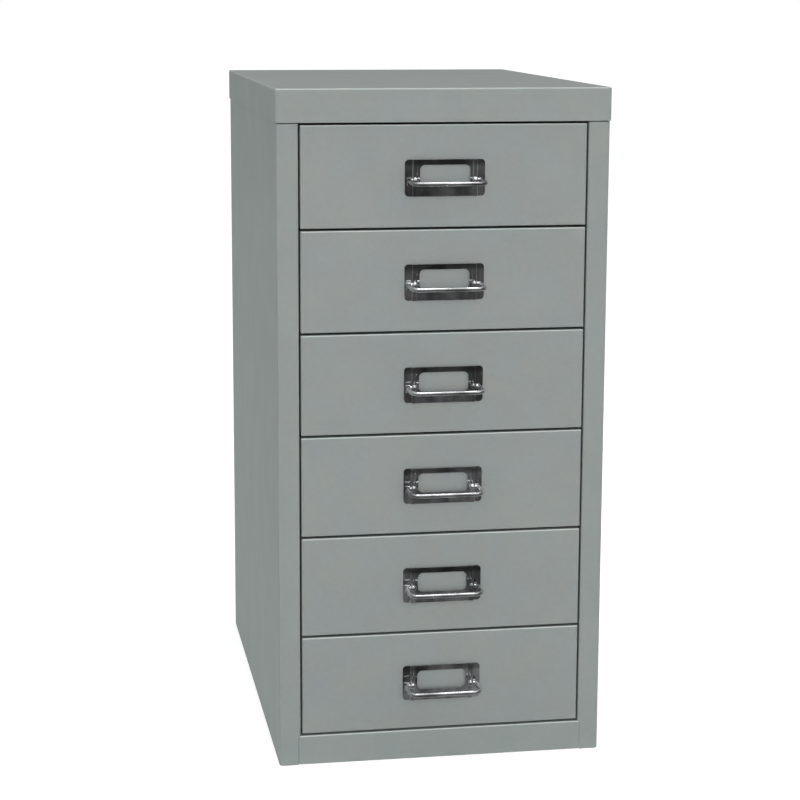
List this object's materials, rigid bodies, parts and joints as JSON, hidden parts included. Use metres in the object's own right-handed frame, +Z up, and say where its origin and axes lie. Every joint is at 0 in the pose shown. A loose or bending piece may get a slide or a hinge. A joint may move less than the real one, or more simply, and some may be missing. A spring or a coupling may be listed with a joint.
{
  "type": "drawer cabinet",
  "caption": "Small upright steel cabinet: a tall stack of shallow full-width paper drawers, each with a chrome card-holder pull and wire bail.",
  "frame": {"origin": "on the floor under the middle of the shell (the handles are not counted)", "axes": "+X to the right as seen from the front, +Y from the drawer fronts to the back, +Z up"},
  "size_m": [0.279, 0.4353, 0.5704],
  "materials": {
    "shell_paint": "satin",
    "drawer_paint": "satin",
    "tray_paint": "satin",
    "holder_chrome": "bright",
    "bail_chrome": "bright",
    "runner_steel": "zinc plated"
  },
  "bodies": {
    "case": {"lid": "shell_paint", "left_side_panel": "shell_paint", "right_side_panel": "shell_paint", "back_panel": "shell_paint", "base_pan": "shell_paint", "bottom_rail": "shell_paint", "left_front_upright": "runner_steel", "left_rear_upright": "runner_steel", "right_front_upright": "runner_steel", "right_rear_upright": "runner_steel", "left_runner_1": "runner_steel", "left_runner_2": "runner_steel", "left_runner_3": "runner_steel", "left_runner_4": "runner_steel", "left_runner_5": "runner_steel", "left_runner_6": "runner_steel", "right_runner_1": "runner_steel", "right_runner_2": "runner_steel", "right_runner_3": "runner_steel", "right_runner_4": "runner_steel", "right_runner_5": "runner_steel", "right_runner_6": "runner_steel"},
    "drawer_1": {"drawer_front_1": "drawer_paint", "drawer_tray_1": "tray_paint", "card_holder_1": "holder_chrome"},
    "bail_body_1": {"bail_1": "bail_chrome"},
    "drawer_2": {"drawer_front_2": "drawer_paint", "drawer_tray_2": "tray_paint", "card_holder_2": "holder_chrome"},
    "bail_body_2": {"bail_2": "bail_chrome"},
    "drawer_3": {"drawer_front_3": "drawer_paint", "drawer_tray_3": "tray_paint", "card_holder_3": "holder_chrome"},
    "bail_body_3": {"bail_3": "bail_chrome"},
    "drawer_4": {"drawer_front_4": "drawer_paint", "drawer_tray_4": "tray_paint", "card_holder_4": "holder_chrome"},
    "bail_body_4": {"bail_4": "bail_chrome"},
    "drawer_5": {"drawer_front_5": "drawer_paint", "drawer_tray_5": "tray_paint", "card_holder_5": "holder_chrome"},
    "bail_body_5": {"bail_5": "bail_chrome"},
    "drawer_6": {"drawer_front_6": "drawer_paint", "drawer_tray_6": "tray_paint", "card_holder_6": "holder_chrome"},
    "bail_body_6": {"bail_6": "bail_chrome"}
  },
  "joints": [
    {"name": "drawer_1_slide", "type": "slide", "parent": "case", "child": "drawer_1", "axis": [0, -1, 0], "range_m": [0, 0.29]},
    {"name": "bail_1_lift", "type": "hinge", "parent": "drawer_1", "child": "bail_body_1", "pos_m": [0, -0.20695, 0.4955], "axis": [-1, 0, 0], "range_deg": [0, 90]},
    {"name": "drawer_2_slide", "type": "slide", "parent": "case", "child": "drawer_2", "axis": [0, -1, 0], "range_m": [0, 0.29]},
    {"name": "bail_2_lift", "type": "hinge", "parent": "drawer_2", "child": "bail_body_2", "pos_m": [0, -0.20695, 0.4096], "axis": [-1, 0, 0], "range_deg": [0, 90]},
    {"name": "drawer_3_slide", "type": "slide", "parent": "case", "child": "drawer_3", "axis": [0, -1, 0], "range_m": [0, 0.29]},
    {"name": "bail_3_lift", "type": "hinge", "parent": "drawer_3", "child": "bail_body_3", "pos_m": [0, -0.20695, 0.3237], "axis": [-1, 0, 0], "range_deg": [0, 90]},
    {"name": "drawer_4_slide", "type": "slide", "parent": "case", "child": "drawer_4", "axis": [0, -1, 0], "range_m": [0, 0.29]},
    {"name": "bail_4_lift", "type": "hinge", "parent": "drawer_4", "child": "bail_body_4", "pos_m": [0, -0.20695, 0.2378], "axis": [-1, 0, 0], "range_deg": [0, 90]},
    {"name": "drawer_5_slide", "type": "slide", "parent": "case", "child": "drawer_5", "axis": [0, -1, 0], "range_m": [0, 0.29]},
    {"name": "bail_5_lift", "type": "hinge", "parent": "drawer_5", "child": "bail_body_5", "pos_m": [0, -0.20695, 0.1519], "axis": [-1, 0, 0], "range_deg": [0, 90]},
    {"name": "drawer_6_slide", "type": "slide", "parent": "case", "child": "drawer_6", "axis": [0, -1, 0], "range_m": [0, 0.29]},
    {"name": "bail_6_lift", "type": "hinge", "parent": "drawer_6", "child": "bail_body_6", "pos_m": [0, -0.20695, 0.066], "axis": [-1, 0, 0], "range_deg": [0, 90]}
  ]
}
